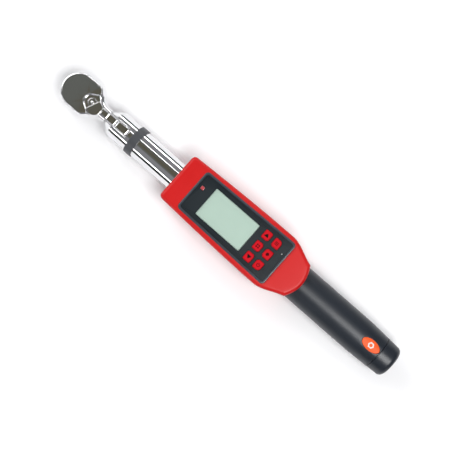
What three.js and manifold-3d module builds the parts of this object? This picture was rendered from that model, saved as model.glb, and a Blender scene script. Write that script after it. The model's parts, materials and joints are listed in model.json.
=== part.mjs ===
// An electronic torque wrench with a flexing ratchet head, lying on a bench with its display up.
// +X runs from the head to the grip, +Z out of the display, and the bench is at z = 0. Millimetres.

import * as THREE from 'three';
import { mergeVertices } from 'three/addons/utils/BufferGeometryUtils.js';
import Module from 'manifold-3d';

const wasm = await Module();
wasm.setup();

// ---------------------------------------------------------------- driving dimensions

const TOOL_LENGTH = 390;
const AXIS_Z = 21; // the tube's axis above the bench
const GAP = 0.3; // between pieces that touch
const WELD = 1e-4; // vertices nearer than this are one
const ROUND_STEPS = 32; // sides of a large round
const SMALL_STEPS = 14; // and of a small one
const FAR = 60; // past anything a cut goes through
const FINE = [6, 3]; // steps in a curve of an outline, and in a rounded edge
const COARSE = [2, 1];

const TIP_X = -TOOL_LENGTH / 2;
const END_X = TOOL_LENGTH / 2;

// ratchet head, measured from where the drive's axis meets the tube's
const HEAD_RADIUS = 17.4;
const HEAD_X = TIP_X + HEAD_RADIUS;
const HEAD_TOP = 10;
const HEAD_BOTTOM = -7.5;
const SHOULDER_X = 12.2; // where the round head starts to narrow
const NECK_X = 29.8; // where it has narrowed to the neck
const NECK_HALF = 7;
const NECK_TOP = 5.5;
const NECK_BOTTOM = -6;
const SQUARE = 9.53; // three eighths of an inch
const SQUARE_LENGTH = 11;
const BOSS_LOW = HEAD_BOTTOM - 0.9; // where the drive's round boss ends and its square starts
const BOSS_RADIUS = 8;
const GROOVE_RADIUS = 7.2; // in the boss, for its clip
const TEETH = 36;
const GEAR_RADIUS = 12.2;
const TOOTH_DEPTH = 1.2;
const GEAR_LOW = -5.1;
const GEAR_HIGH = 3.2;
const POCKET_RADIUS = 13;
const POCKET_TOP = 3.5;
const COVER_RADIUS = 13.6;
const COVER_THICK = 1.8;
const COVER_SCREW = [12, 10.8]; // along and across from the drive's axis
const DETENT_RADIUS = 1.6;
const DETENT_Z = BOSS_LOW - SQUARE_LENGTH / 2;
const DETENT_OUT = 0.7; // how far the ball stands out of the square
const PAWL_X = 16.2; // the lever's pivot, behind the drive's axis
const PAWL_POCKET = 9.2;
const LEVER_SWING = THREE.MathUtils.degToRad(24); // each way from straight
const POST_RADIUS = 1.9;
const HUB_RADIUS = 4.4;

// flex joint
const PIN_X = -124.8;
const PIN_OFFSET = PIN_X - HEAD_X; // from the drive's axis
const PIN_RADIUS = 2.5;
const PIN_HALF = 11.6;
const EYE_RADIUS = 5.7;
const EYE_FRONT = 6.6; // from the pin to where its flat top starts
const WAIST_HALF = 3.4; // half the tongue's height, between the neck and the eye
const TONGUE_HALF = 3.2;
const SLOT_HALF = 4.4;
const SLOT_END = PIN_X + 8;
const WASHER = 0.5;
const SHOULDER_GAP = 18.4; // from the pin to the neck's shoulder, which clears the fork at the limits

// tube
const TUBE_RADIUS = 13.5;
const TUBE_BORE = 10.5;
const NOSE_X = -141.3;
const NOSE_RADIUS = 7.2;
const NOSE_LENGTH = 8.2;
const NOSE_GROOVE = [0.8, 1.4, 0.4]; // behind the cone, its width and depth
const TUBE_END = -45;
const BAND_X = -112.4;
const BAND_LENGTH = 8;
const BAND_RADIUS = 14.4;

// housing
const HOUSING_FRONT = -58;
const HOUSING_REAR = 88.6;
const HOUSING_TOP = 43;
const PARTING_Z = 22;
const WALL = 2.6;
const FRONT_HALF = 24.1;
const REAR_HALF = 27.1;
const TAPER_X = 56; // where the sides start to close in on the grip
const LIP_X = 82.8;
const LIP_HALF = 17.9;
const HOUSING_CORNER = 4;
const HOUSING_EDGE = 3.5;
const SCREW_X = [-48, 52];
const SCREW_Y = [19, 21];
const SCREW_HOLE = 1.6;
const PILLAR_RADIUS = 3.4;

// display
const BEZEL_FRONT = -39.5;
const BEZEL_REAR = 62.4;
const BEZEL_FRONT_HALF = 20.9;
const BEZEL_REAR_HALF = 23.2;
const BEZEL_CORNER = 3.6;
const BEZEL_RIM = 1.7;
const BEZEL_TOP = 44.3;
const PANEL_TOP = 43.5;
const PANEL_LOW = 41.6;
const LCD_CENTRE = 2;
const LCD_LENGTH = 50.8;
const LCD_WIDTH = 29.7;
const KEY_X = [37.2, 48.3];
const KEY_PITCH = 12.3;
const KEY_LENGTH = 7.6;
const KEY_WIDTH = 8.6;
const KEY_TOP = 45;
const KEY_LOW = 40;
const LAMP_X = -32.9;
const LAMP_Y = 6.5;
const LAMP_SIZE = 3.6;
const DOT_X = 57.6;
const DOT_Y = 8.5;
const BOARD_LOW = 34;
const BOARD_TOP = 35.5;

// sensing beam
const BEAM_HALF = 5;
const BEAM_HEIGHT = 18;
const BEAM_REAR = 64;
const CROSS_PIN_RADIUS = 2;
const CROSS_PIN_X = [TUBE_END - 6, BEAM_REAR + 5];

// grip
const HANDLE_OUTER = 12;
const HANDLE_INNER = 10.2;
const HANDLE_END = 167.5;
const GRIP_RADIUS = 17;
const GRIP_FRONT = 68;
const GRIP_FRONT_RADIUS = 15.5;
const GRIP_STEP_X = 84;
const GRIP_TAPER_X = 158;
const CAP_X = 178.7;
const CAP_CORNER_X = 189.6;
const CAP_RADIUS = 15.3;
const BATTERY_RADIUS = 7.25;
const BATTERY_LENGTH = 49.2;
const BATTERY_X = 75;
const NUB_LENGTH = 1.3;
const CELL_PITCH = BATTERY_LENGTH + NUB_LENGTH + GAP;
const CONTACT_START = BATTERY_X + 2 * CELL_PITCH + 0.7;
const CONTACT_END = CONTACT_START + 7;
const BADGE_X = 168.2;
const BADGE_LENGTH = 18.5;
const BADGE_WIDTH = 10;
const BADGE_FLOOR = 15.1; // above the tube's axis

// ---------------------------------------------------------------- solids

// A closed geometry as a solid.
function solid(geometry) {
  geometry.deleteAttribute('normal');
  geometry.deleteAttribute('uv');
  const merged = mergeVertices(geometry, WELD);
  const index = merged.index.array;
  const kept = [];
  for (let i = 0; i < index.length; i += 3) {
    const [a, b, c] = index.slice(i, i + 3);
    if (a !== b && b !== c && c !== a) kept.push(a, b, c);
  }
  const vertProperties = merged.attributes.position.array;
  const triVerts = new Uint32Array(kept);
  return new wasm.Manifold(new wasm.Mesh({ numProp: 3, vertProperties, triVerts }));
}

// A solid as a geometry.
function surface(body) {
  const mesh = body.getMesh();
  const geometry = new THREE.BufferGeometry();
  geometry.setAttribute('position', new THREE.BufferAttribute(mesh.vertProperties, 3));
  geometry.setIndex(new THREE.BufferAttribute(mesh.triVerts, 1));
  return geometry;
}

function join(first, ...others) {
  return others.reduce((body, other) => body.add(other), first);
}

function cut(first, ...others) {
  return others.reduce((body, other) => body.subtract(other), first);
}

function block(x0, x1, y0, y1, z0, z1) {
  const geometry = new THREE.BoxGeometry(x1 - x0, y1 - y0, z1 - z0);
  return solid(geometry.translate((x0 + x1) / 2, (y0 + y1) / 2, (z0 + z1) / 2));
}

// A round bar along an axis, from low to high on it, through (u, v) on the other two axes in order.
function bar(axis, radius, low, high, u = 0, v = 0, steps = SMALL_STEPS) {
  const geometry = new THREE.CylinderGeometry(radius, radius, high - low, steps);
  geometry.translate(0, (low + high) / 2, 0);
  if (axis === 'x') geometry.rotateZ(-Math.PI / 2).translate(0, u, v);
  if (axis === 'y') geometry.translate(u, 0, v);
  if (axis === 'z') geometry.rotateX(Math.PI / 2).translate(u, v, 0);
  return solid(geometry);
}

// A body turned about the X axis, from [x, radius] pairs that start and end on it or close.
function turned(profile, steps = ROUND_STEPS) {
  const points = profile.map(([x, radius]) => new THREE.Vector2(radius, x));
  if (THREE.ShapeUtils.area(points) < 0) points.reverse();
  return solid(new THREE.LatheGeometry(points, steps).rotateZ(-Math.PI / 2));
}

// A ring about the X axis.
function collar(inner, outer, low, high, steps = ROUND_STEPS) {
  return cut(bar('x', outer, low, high, 0, 0, steps), bar('x', inner, low - 1, high + 1, 0, 0, steps));
}

// A plate of the outline between two heights, its edges rounded in by edge over a height of rise.
function plate(outline, low, high, edge = 0, rise = edge, steps = COARSE) {
  const geometry = new THREE.ExtrudeGeometry(outline, {
    depth: high - low - 2 * rise,
    bevelEnabled: edge > 0,
    bevelSize: edge,
    bevelOffset: -edge,
    bevelThickness: rise,
    curveSegments: steps[0],
    bevelSegments: steps[1],
  });
  return solid(geometry.translate(0, 0, low + rise));
}

// The same with a different edge below and above the height where the two halves meet.
function casting(outline, low, high, lowEdge, highEdge, highRise) {
  const middle = (low + high) / 2;
  const above = block(-FAR, FAR, -FAR, FAR, middle, FAR);
  const upper = plate(outline, low - highRise, high, highEdge, highRise, FINE).intersect(above);
  const lower = plate(outline, low, high + lowEdge, lowEdge, lowEdge, FINE).subtract(above);
  return upper.add(lower);
}

function polygon(points) {
  return new THREE.Shape(points.map(([x, y]) => new THREE.Vector2(x, y)));
}

// A four-sided outline, symmetrical about a line along X at y, with round corners.
function trapezoid(x0, x1, half0, half1, corner, y = 0) {
  const corners = [
    new THREE.Vector2(x0, y - half0),
    new THREE.Vector2(x1, y - half1),
    new THREE.Vector2(x1, y + half1),
    new THREE.Vector2(x0, y + half0),
  ];
  const shape = new THREE.Shape();
  corners.forEach((point, i) => {
    const before = corners[(i + 3) % 4];
    const after = corners[(i + 1) % 4];
    const from = point.clone().add(before.clone().sub(point).setLength(corner));
    const to = point.clone().add(after.clone().sub(point).setLength(corner));
    if (i === 0) shape.moveTo(from.x, from.y);
    else shape.lineTo(from.x, from.y);
    shape.quadraticCurveTo(point.x, point.y, to.x, to.y);
  });
  shape.closePath();
  return shape;
}

function rectangle(length, width, corner, x = 0, y = 0) {
  return trapezoid(x - length / 2, x + length / 2, width / 2, width / 2, corner, y);
}

// A helical spring of round wire along +X, from low to high.
class Helix extends THREE.Curve {
  constructor(radius, low, high, turns) {
    super();
    Object.assign(this, { radius, low, high, turns });
  }

  getPoint(t) {
    const angle = 2 * Math.PI * this.turns * t;
    const x = this.low + (this.high - this.low) * t;
    return new THREE.Vector3(x, this.radius * Math.cos(angle), this.radius * Math.sin(angle));
  }
}

function spring(radius, wire, low, high, turns) {
  const path = new Helix(radius, low + wire, high - wire, turns);
  const section = polygon([[wire, 0], [0, wire], [-wire, 0], [0, -wire]]);
  const settings = { steps: Math.ceil(turns * 8), bevelEnabled: false, extrudePath: path };
  return solid(new THREE.ExtrudeGeometry(section, settings));
}

// ---------------------------------------------------------------- scene graph

const FINISHES = {
  chrome: [0xc8cacc, 0.12, 1],
  steel: [0x9a9ca0, 0.35, 1],
  brass: [0xc9a24a, 0.35, 1],
  red: [0xd62a2a, 0.38, 0],
  redRubber: [0xd8202c, 0.6, 0],
  redLens: [0xb04a50, 0.2, 0],
  panel: [0x2c343b, 0.3, 0],
  glass: [0xbcd2c6, 0.15, 0],
  lcd: [0xbcd2c5, 0.4, 0],
  band: [0x4e5053, 0.6, 0],
  grip: [0x2d3133, 0.55, 0],
  badge: [0xff641e, 0.3, 0],
  board: [0x1d5c34, 0.5, 0],
  chip: [0x1c1c1e, 0.5, 0],
  white: [0xe8e8e4, 0.5, 0],
  foil: [0xd8a24a, 0.5, 0.2],
  battery: [0x33363a, 0.4, 0.3],
};

const wrench = new THREE.Group();
const head = new THREE.Group(); // measured from the drive's axis
head.position.set(HEAD_X, 0, AXIS_Z);
const lever = new THREE.Group(); // what the reversing lever turns, measured from its pivot
lever.position.set(PAWL_X, 0, 0);
lever.rotation.z = -LEVER_SWING;
head.add(lever);
const axis = new THREE.Group(); // measured from the tube's axis
axis.position.set(0, 0, AXIS_Z);
wrench.add(head, axis);

function add(parent, name, body, finish, x = 0, y = 0, z = 0) {
  const [color, roughness, metalness] = FINISHES[finish];
  const material = new THREE.MeshStandardMaterial({ color, roughness, metalness });
  const mesh = new THREE.Mesh(surface(body), material);
  mesh.name = name;
  mesh.position.set(x, y, z);
  parent.add(mesh);
}

// ---------------------------------------------------------------- ratchet head

// The head from above: a round nose, straight cheeks, and a sweep in to the neck.
function headOutline() {
  const shape = new THREE.Shape();
  shape.absarc(0, 0, HEAD_RADIUS, Math.PI / 2, -Math.PI / 2, false);
  shape.lineTo(SHOULDER_X, -HEAD_RADIUS);
  shape.bezierCurveTo(SHOULDER_X + 6.3, -HEAD_RADIUS, NECK_X - 9, -NECK_HALF, NECK_X, -NECK_HALF);
  shape.lineTo(PIN_X - SHOULDER_GAP - HEAD_X, -NECK_HALF);
  shape.lineTo(PIN_X - SHOULDER_GAP - HEAD_X, NECK_HALF);
  shape.lineTo(NECK_X, NECK_HALF);
  shape.bezierCurveTo(NECK_X - 9, NECK_HALF, SHOULDER_X + 6.3, HEAD_RADIUS, SHOULDER_X, HEAD_RADIUS);
  shape.closePath();
  return shape;
}

// The lever's pocket from above: a V with a round point, open towards the neck.
function leverPocket() {
  const rounding = 5.6;
  const centre = 8.3 + rounding;
  const arm = THREE.MathUtils.degToRad(31);
  const turn = Math.PI / 2 - arm;
  const reach = 26;
  const farX = centre - rounding * Math.cos(turn) + reach;
  const farY = rounding * Math.sin(turn) + reach * Math.tan(arm);
  const shape = new THREE.Shape();
  shape.absarc(centre, 0, rounding, Math.PI - turn, Math.PI + turn, false);
  shape.lineTo(farX, -farY);
  shape.lineTo(farX, farY);
  shape.closePath();
  return shape;
}

// A round bar at each of the cover's screws.
function atCoverScrews(radius, low, high) {
  return [1, -1].map((side) => bar('z', radius, low, high, COVER_SCREW[0], side * COVER_SCREW[1]));
}

// What the cover covers: the gear's pocket, the pawl's pocket, and an ear for each screw.
function coverBody(low, high, grow) {
  return join(
    bar('z', COVER_RADIUS + grow, low, high, 0, 0, ROUND_STEPS),
    bar('z', PAWL_POCKET + 0.4 + grow, low, high, PAWL_X, 0, ROUND_STEPS),
    ...atCoverScrews(3.3 + grow, low, high),
  );
}

// The tongue that goes in the fork: a waist, then an eye with a flat top and underside.
function tongue() {
  const chamfer = 1.6;
  const half = [
    [PIN_OFFSET - SHOULDER_GAP - 1, WAIST_HALF],
    [PIN_OFFSET - EYE_FRONT - 3, WAIST_HALF],
    [PIN_OFFSET - EYE_FRONT, EYE_RADIUS],
    [PIN_OFFSET + EYE_RADIUS - chamfer, EYE_RADIUS],
    [PIN_OFFSET + EYE_RADIUS, EYE_RADIUS - chamfer],
  ];
  const below = half.map(([x, z]) => [x, -z]).reverse();
  return plate(polygon([...half, ...below]), -TONGUE_HALF, TONGUE_HALF).rotate([90, 0, 0]);
}

// The forging with its neck and tongue, hollowed for the ratchet.
function ratchetHead() {
  const shaped = cut(
    casting(headOutline(), HEAD_BOTTOM, HEAD_TOP, 1, 2.4, 4),
    plate(leverPocket(), NECK_TOP, HEAD_TOP + 5, 0, 0, FINE),
    block(NECK_X - 4, NECK_X + 10, -FAR, FAR, NECK_TOP, FAR),
    block(NECK_X - 4, NECK_X + 10, -FAR, FAR, -FAR, NECK_BOTTOM),
  );
  return cut(
    join(shaped, tongue()),
    bar('y', PIN_RADIUS + GAP, -FAR, FAR, PIN_OFFSET, 0),
    coverBody(HEAD_BOTTOM - 1, HEAD_BOTTOM + COVER_THICK + GAP, GAP),
    bar('z', POCKET_RADIUS, HEAD_BOTTOM, POCKET_TOP, 0, 0, ROUND_STEPS),
    bar('z', PAWL_POCKET, HEAD_BOTTOM, POCKET_TOP, PAWL_X, 0, ROUND_STEPS),
    bar('z', POST_RADIUS + GAP, 0, HEAD_TOP, PAWL_X, 0),
    bar('x', 2, PAWL_X + 5, PAWL_X + 14.5),
    ...atCoverScrews(1.3, HEAD_BOTTOM, -1),
  );
}

function headCover() {
  return cut(
    coverBody(HEAD_BOTTOM, HEAD_BOTTOM + COVER_THICK, 0),
    bar('z', BOSS_RADIUS + 0.4, -FAR, FAR, 0, 0, ROUND_STEPS),
    ...atCoverScrews(1.3, -FAR, FAR),
    ...atCoverScrews(2.2, -FAR, HEAD_BOTTOM + 1.1),
  );
}

function coverScrew() {
  const low = HEAD_BOTTOM + 0.1;
  return join(bar('z', 1.9, low, low + 0.7), bar('z', 1, low, -1.4));
}

// The toothed wheel, its boss through the cover, and the square drive below it.
function driveGear() {
  const pitch = (2 * Math.PI) / TEETH;
  const corners = [[0, GEAR_RADIUS - TOOTH_DEPTH], [0.4, GEAR_RADIUS], [0.6, GEAR_RADIUS]];
  const points = [];
  for (let tooth = 0; tooth < TEETH; tooth += 1) {
    corners.forEach(([share, radius]) => {
      const angle = (tooth + share) * pitch;
      points.push([radius * Math.cos(angle), radius * Math.sin(angle)]);
    });
  }
  const body = join(
    plate(polygon(points), GEAR_LOW, GEAR_HIGH),
    bar('z', BOSS_RADIUS, BOSS_LOW, GEAR_LOW + 0.5, 0, 0, ROUND_STEPS),
    plate(rectangle(SQUARE, SQUARE, 0.8), BOSS_LOW - SQUARE_LENGTH, BOSS_LOW + 1, 0.5),
  );
  const bore = bar('x', DETENT_RADIUS + 0.15, -SQUARE, 2.5, 0, DETENT_Z);
  return cut(body, bore, driveGroove(GROOVE_RADIUS, BOSS_RADIUS + 1, 0));
}

function driveGroove(inner, outer, shrink) {
  const low = BOSS_LOW + 0.15 + shrink;
  const high = BOSS_LOW + 0.85 - shrink;
  const ring = bar('z', outer, low, high, 0, 0, ROUND_STEPS);
  return cut(ring, bar('z', inner, low - 1, high + 1, 0, 0, ROUND_STEPS));
}

// An open clip in the boss's groove.
function driveClip() {
  return cut(driveGroove(GROOVE_RADIUS + 0.25, BOSS_RADIUS + 1.4, 0.1), block(6, 10, -2, 2, -FAR, 0));
}

function ball(radius, x, z) {
  return solid(new THREE.SphereGeometry(radius, 12, 8).translate(x, 0, z));
}

// A rocker with a tooth at each end: one is in the gear, the other clear of it.
function pawlBody() {
  const centre = new THREE.Vector2();
  const tip = new THREE.Vector2(GEAR_RADIUS - 0.7, 0).rotateAround(centre, Math.PI / 6);
  tip.x -= PAWL_X;
  const tooth = [[1.95, -1.6], [1.2, 0], [0, 0], [0.7, 1.2]].map(([x, y]) => {
    const corner = new THREE.Vector2(tip.x + x, tip.y + y).rotateAround(centre, -LEVER_SWING);
    return [corner.x, corner.y];
  });
  const half = [...tooth, [-0.5, 8.2], [2.5, 5.5], [3.2, 1.5]];
  const mirrored = half.map(([x, y]) => [x, -y]);
  const outline = polygon([...mirrored, ...half.reverse()]);
  return cut(plate(outline, GEAR_LOW + 0.4, GEAR_HIGH - 0.4), bar('z', POST_RADIUS + GAP, -FAR, FAR));
}

// The thumb paddle with its post, about the pivot.
function leverBody() {
  const side = [[2.5, 6.2], [3.1, 6.9], [7.8, 7.4], [8.6, 7.1], [11, 4.8], [12.8, 1.4]];
  const paddle = polygon([...side.map(([x, y]) => [x, -y]), ...side.reverse()]);
  const low = NECK_TOP + GAP;
  return join(
    plate(paddle, low, HEAD_TOP - 0.7, 0.3, 0.3),
    bar('z', HUB_RADIUS, low, low + 1.6, 0, 0, ROUND_STEPS),
    bar('z', POST_RADIUS, GEAR_LOW + 0.5, low + 1),
  );
}

function buildHead() {
  add(head, 'ratchet_head', ratchetHead(), 'chrome');
  add(head, 'head_cover', headCover(), 'steel');
  [1, -1].forEach((side, i) => {
    add(head, `cover_screw_${i + 1}`, coverScrew(), 'steel', COVER_SCREW[0], side * COVER_SCREW[1]);
  });
  add(head, 'drive_gear', driveGear(), 'steel');
  add(head, 'drive_clip', driveClip(), 'steel');
  const detentX = DETENT_RADIUS - DETENT_OUT - SQUARE / 2;
  add(head, 'drive_ball', ball(DETENT_RADIUS, detentX, DETENT_Z), 'steel');
  const springStart = detentX + DETENT_RADIUS + 1;
  add(head, 'drive_ball_spring', spring(1.1, 0.25, springStart, 2.4, 2.5), 'steel', 0, 0, DETENT_Z);
  add(head, 'pawl_ball', ball(1.7, PAWL_X + 5.8, 0), 'steel');
  add(head, 'pawl_spring', spring(1.2, 0.25, PAWL_X + 7.8, PAWL_X + 14.2, 5), 'steel');
  add(lever, 'pawl', pawlBody(), 'steel');
  add(lever, 'reversing_lever', leverBody(), 'chrome');
}

// ---------------------------------------------------------------- flex joint and tube

// The pin that holds the beam in the tube (0) or in the handle (1), or the hole it goes in.
function crossPin(end, grow, half) {
  return bar('y', CROSS_PIN_RADIUS + grow, -half, half, CROSS_PIN_X[end], 0);
}

// The chromed tube, from its coned nose and the fork's slot to its end in the housing.
function beamTube() {
  const [gap, width, depth] = NOSE_GROOVE;
  const grooveX = NOSE_X + NOSE_LENGTH + gap;
  const profile = [
    [NOSE_X, 0],
    [NOSE_X, NOSE_RADIUS],
    [NOSE_X + NOSE_LENGTH, TUBE_RADIUS],
    [grooveX, TUBE_RADIUS],
    [grooveX, TUBE_RADIUS - depth],
    [grooveX + width, TUBE_RADIUS - depth],
    [grooveX + width, TUBE_RADIUS],
    [TUBE_END, TUBE_RADIUS],
    [TUBE_END, TUBE_BORE],
    [BAND_X, TUBE_BORE],
    [BAND_X - 3, 0],
  ];
  return cut(
    turned(profile),
    block(NOSE_X - 1, SLOT_END, -SLOT_HALF, SLOT_HALF, -FAR, FAR),
    bar('y', PIN_RADIUS + GAP, -FAR, FAR, PIN_X, 0),
    crossPin(0, GAP, FAR),
  );
}

function buildFlexJoint() {
  add(axis, 'beam_tube', beamTube(), 'chrome');
  add(axis, 'flex_pin', bar('y', PIN_RADIUS, -PIN_HALF, PIN_HALF), 'steel', PIN_X);
  const washer = cut(
    bar('y', EYE_RADIUS - 0.6, 0, WASHER, 0, 0, ROUND_STEPS),
    bar('y', PIN_RADIUS + GAP, -1, 2),
  );
  const place = (TONGUE_HALF + SLOT_HALF - WASHER) / 2;
  add(axis, 'flex_washer_left', washer, 'steel', PIN_X, place);
  add(axis, 'flex_washer_right', washer, 'steel', PIN_X, -place - WASHER);
  const bandEnd = BAND_X + BAND_LENGTH;
  const inner = TUBE_RADIUS + 0.2;
  const band = turned([
    [BAND_X, inner],
    [bandEnd, inner],
    [bandEnd, BAND_RADIUS - 0.4],
    [bandEnd - 0.4, BAND_RADIUS],
    [BAND_X + 0.6, BAND_RADIUS],
    [BAND_X, BAND_RADIUS - 0.6],
    [BAND_X, inner],
  ]);
  add(axis, 'ring_band', band, 'band');
}

// The beam that bends under load: a plug at each end and a flat waist between them.
function strainBeam() {
  const front = TUBE_END - 12;
  const waistFront = TUBE_END + 4;
  const waistRear = BEAM_REAR - 4;
  const rear = BEAM_REAR + 10;
  const body = join(
    bar('x', TUBE_BORE - GAP, front, waistFront, 0, 0, ROUND_STEPS),
    block(waistFront - 1, waistRear + 1, -BEAM_HALF, BEAM_HALF, -BEAM_HEIGHT / 2, BEAM_HEIGHT / 2),
    bar('x', HANDLE_INNER - GAP, waistRear, rear, 0, 0, ROUND_STEPS),
  );
  return cut(body, crossPin(0, GAP, FAR), crossPin(1, GAP, FAR));
}

function buildSensingBeam() {
  add(axis, 'strain_beam', strainBeam(), 'steel');
  const gauge = block(-6, 6, 0, 0.4, -3, 3);
  add(axis, 'strain_gauge_left', gauge, 'foil', 0, BEAM_HALF + GAP);
  add(axis, 'strain_gauge_right', gauge, 'foil', 0, -BEAM_HALF - GAP - 0.4);
  add(axis, 'beam_pin_front', crossPin(0, 0, TUBE_RADIUS - 0.7), 'steel');
  add(axis, 'beam_pin_rear', crossPin(1, 0, HANDLE_OUTER - 0.3), 'steel');
}

// ---------------------------------------------------------------- housing

// The housing from above: it widens to the rear, then sweeps in to the grip.
function housingOutline() {
  const start = HOUSING_FRONT + HOUSING_CORNER;
  const side = FRONT_HALF - HOUSING_CORNER;
  const nearX = TAPER_X + 10; // the sweep's two control points
  const nearHalf = REAR_HALF - 0.6;
  const farX = TAPER_X + 17;
  const farHalf = REAR_HALF - 6.6;
  const shape = new THREE.Shape();
  shape.absarc(start, -side, HOUSING_CORNER, Math.PI, 1.5 * Math.PI, false);
  shape.bezierCurveTo(start + 36, -FRONT_HALF - 1.6, TAPER_X - 40, -REAR_HALF, TAPER_X, -REAR_HALF);
  shape.bezierCurveTo(nearX, -nearHalf, farX, -farHalf, LIP_X, -LIP_HALF);
  shape.quadraticCurveTo(2 * HOUSING_REAR - LIP_X, 0, LIP_X, LIP_HALF);
  shape.bezierCurveTo(farX, farHalf, nearX, nearHalf, TAPER_X, REAR_HALF);
  shape.bezierCurveTo(TAPER_X - 40, REAR_HALF, start + 36, FRONT_HALF + 1.6, start, FRONT_HALF);
  shape.absarc(start, side, HOUSING_CORNER, Math.PI / 2, Math.PI, false);
  shape.closePath();
  return shape;
}

function bezelOutline(inset) {
  const front = BEZEL_FRONT + inset;
  const rear = BEZEL_REAR - inset;
  return trapezoid(front, rear, BEZEL_FRONT_HALF - inset, BEZEL_REAR_HALF - inset, BEZEL_CORNER);
}

// The room inside the housing, and the ways out of it for the tube and the grip.
function housingHollow() {
  const front = HOUSING_FRONT + WALL;
  const rear = GRIP_FRONT - 4;
  const room = trapezoid(front, rear, FRONT_HALF - WALL, REAR_HALF - WALL - 1.6, 2);
  return join(
    plate(room, WALL, HOUSING_TOP - WALL),
    bar('x', TUBE_RADIUS + GAP, HOUSING_FRONT - 1, front + 1, 0, AXIS_Z, ROUND_STEPS),
    bar('x', GRIP_FRONT_RADIUS + GAP, rear - 1, HOUSING_REAR, 0, AXIS_Z, ROUND_STEPS),
    bar('x', GRIP_RADIUS + GAP, GRIP_STEP_X - 2 * GAP, HOUSING_REAR + 1, 0, AXIS_Z, ROUND_STEPS),
  );
}

// Each half of the housing before it is opened: the whole between two heights.
function housingSlice(low, high) {
  const whole = plate(housingOutline(), 0, HOUSING_TOP, HOUSING_EDGE, HOUSING_EDGE, FINE);
  return whole.intersect(block(HOUSING_FRONT, HOUSING_REAR, -FAR, FAR, low, high));
}

function screwPlaces() {
  return SCREW_X.flatMap((x, i) => [[x, SCREW_Y[i]], [x, -SCREW_Y[i]]]);
}

function atScrews(radius, low, high) {
  return screwPlaces().map(([x, y]) => bar('z', radius, low, high, x, y));
}

function upperHousing() {
  const low = PARTING_Z + GAP / 2;
  const opening = plate(bezelOutline(BEZEL_RIM + 0.6), HOUSING_TOP - 10, HOUSING_TOP + 5);
  const shell = cut(housingSlice(low, FAR), housingHollow(), opening);
  return cut(
    join(shell, ...atScrews(PILLAR_RADIUS, low, BOARD_LOW - 2)),
    ...atScrews(SCREW_HOLE, low - 1, BOARD_LOW - 4),
  );
}

function lowerHousing() {
  const high = PARTING_Z - GAP / 2;
  const shell = cut(housingSlice(-1, high), housingHollow());
  return cut(
    join(shell, ...atScrews(PILLAR_RADIUS, WALL - 1, high)),
    ...atScrews(SCREW_HOLE, -1, FAR),
    ...atScrews(SCREW_HOLE + 1, -1, WALL + 2.4),
  );
}

function housingScrew() {
  return join(bar('z', 2.3, 3.2, 4.7), bar('z', SCREW_HOLE - GAP, 4.6, BOARD_LOW - 5));
}

function buildHousing() {
  add(wrench, 'upper_housing', upperHousing(), 'red');
  add(wrench, 'lower_housing', lowerHousing(), 'red');
  screwPlaces().forEach(([x, y], i) => {
    add(wrench, `housing_screw_${i + 1}`, housingScrew(), 'steel', x, y);
  });
}

// ---------------------------------------------------------------- display

const KEYS = [
  ['button_up', 0, 1],
  ['button_memory', 1, 1],
  ['button_mode', 0, 0],
  ['button_units', 1, 0],
  ['button_down', 0, -1],
  ['button_power', 1, -1],
];

function keyPlaces() {
  return KEYS.map(([name, column, row]) => [name, KEY_X[column], row * KEY_PITCH]);
}

// A rim that sits on the housing, the panel within it, and the wall that drops into the opening.
function displayBezel() {
  const rim = plate(bezelOutline(0), HOUSING_TOP + GAP, BEZEL_TOP, 0.6, 0.45);
  const drop = plate(bezelOutline(BEZEL_RIM + 0.9), PANEL_LOW, HOUSING_TOP + GAP + 0.5);
  const pocket = plate(bezelOutline(BEZEL_RIM), PANEL_TOP, BEZEL_TOP + 1);
  const window = rectangle(LCD_LENGTH + 2 * GAP, LCD_WIDTH + 2 * GAP, 0.8, LCD_CENTRE);
  const lamp = rectangle(LAMP_SIZE + 2 * GAP, LAMP_SIZE + 2 * GAP, 0.6, LAMP_X, LAMP_Y);
  const keys = keyPlaces().map(([, x, y]) => {
    const hole = rectangle(KEY_LENGTH + 2 * GAP, KEY_WIDTH + 2 * GAP, 1.8, x, y);
    return plate(hole, 0, FAR);
  });
  return cut(
    join(rim, drop),
    pocket,
    plate(window, 0, FAR),
    plate(lamp, 0, FAR),
    bar('z', 0.6 + GAP, 0, FAR, DOT_X, DOT_Y),
    ...keys,
  );
}

// A key through the panel, kept in by its wider foot.
function keyBody() {
  const low = PANEL_LOW - 0.5;
  return join(
    plate(rectangle(KEY_LENGTH, KEY_WIDTH, 1.6), low - 0.2, KEY_TOP, 0.5),
    plate(rectangle(KEY_LENGTH + 1.8, KEY_WIDTH + 1.8, 1.6), KEY_LOW, low),
  );
}

// A rubber sheet with a dome under each key.
function keypadMat() {
  const x = (KEY_X[0] + KEY_X[1]) / 2;
  const sheet = plate(rectangle(23, 36.5, 2, x), BOARD_TOP + GAP, BOARD_TOP + 1.6);
  const domes = keyPlaces().map(([, u, v]) => bar('z', 2.4, BOARD_TOP + 1, KEY_LOW - 1.3, u, v));
  return join(sheet, ...domes);
}

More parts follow.
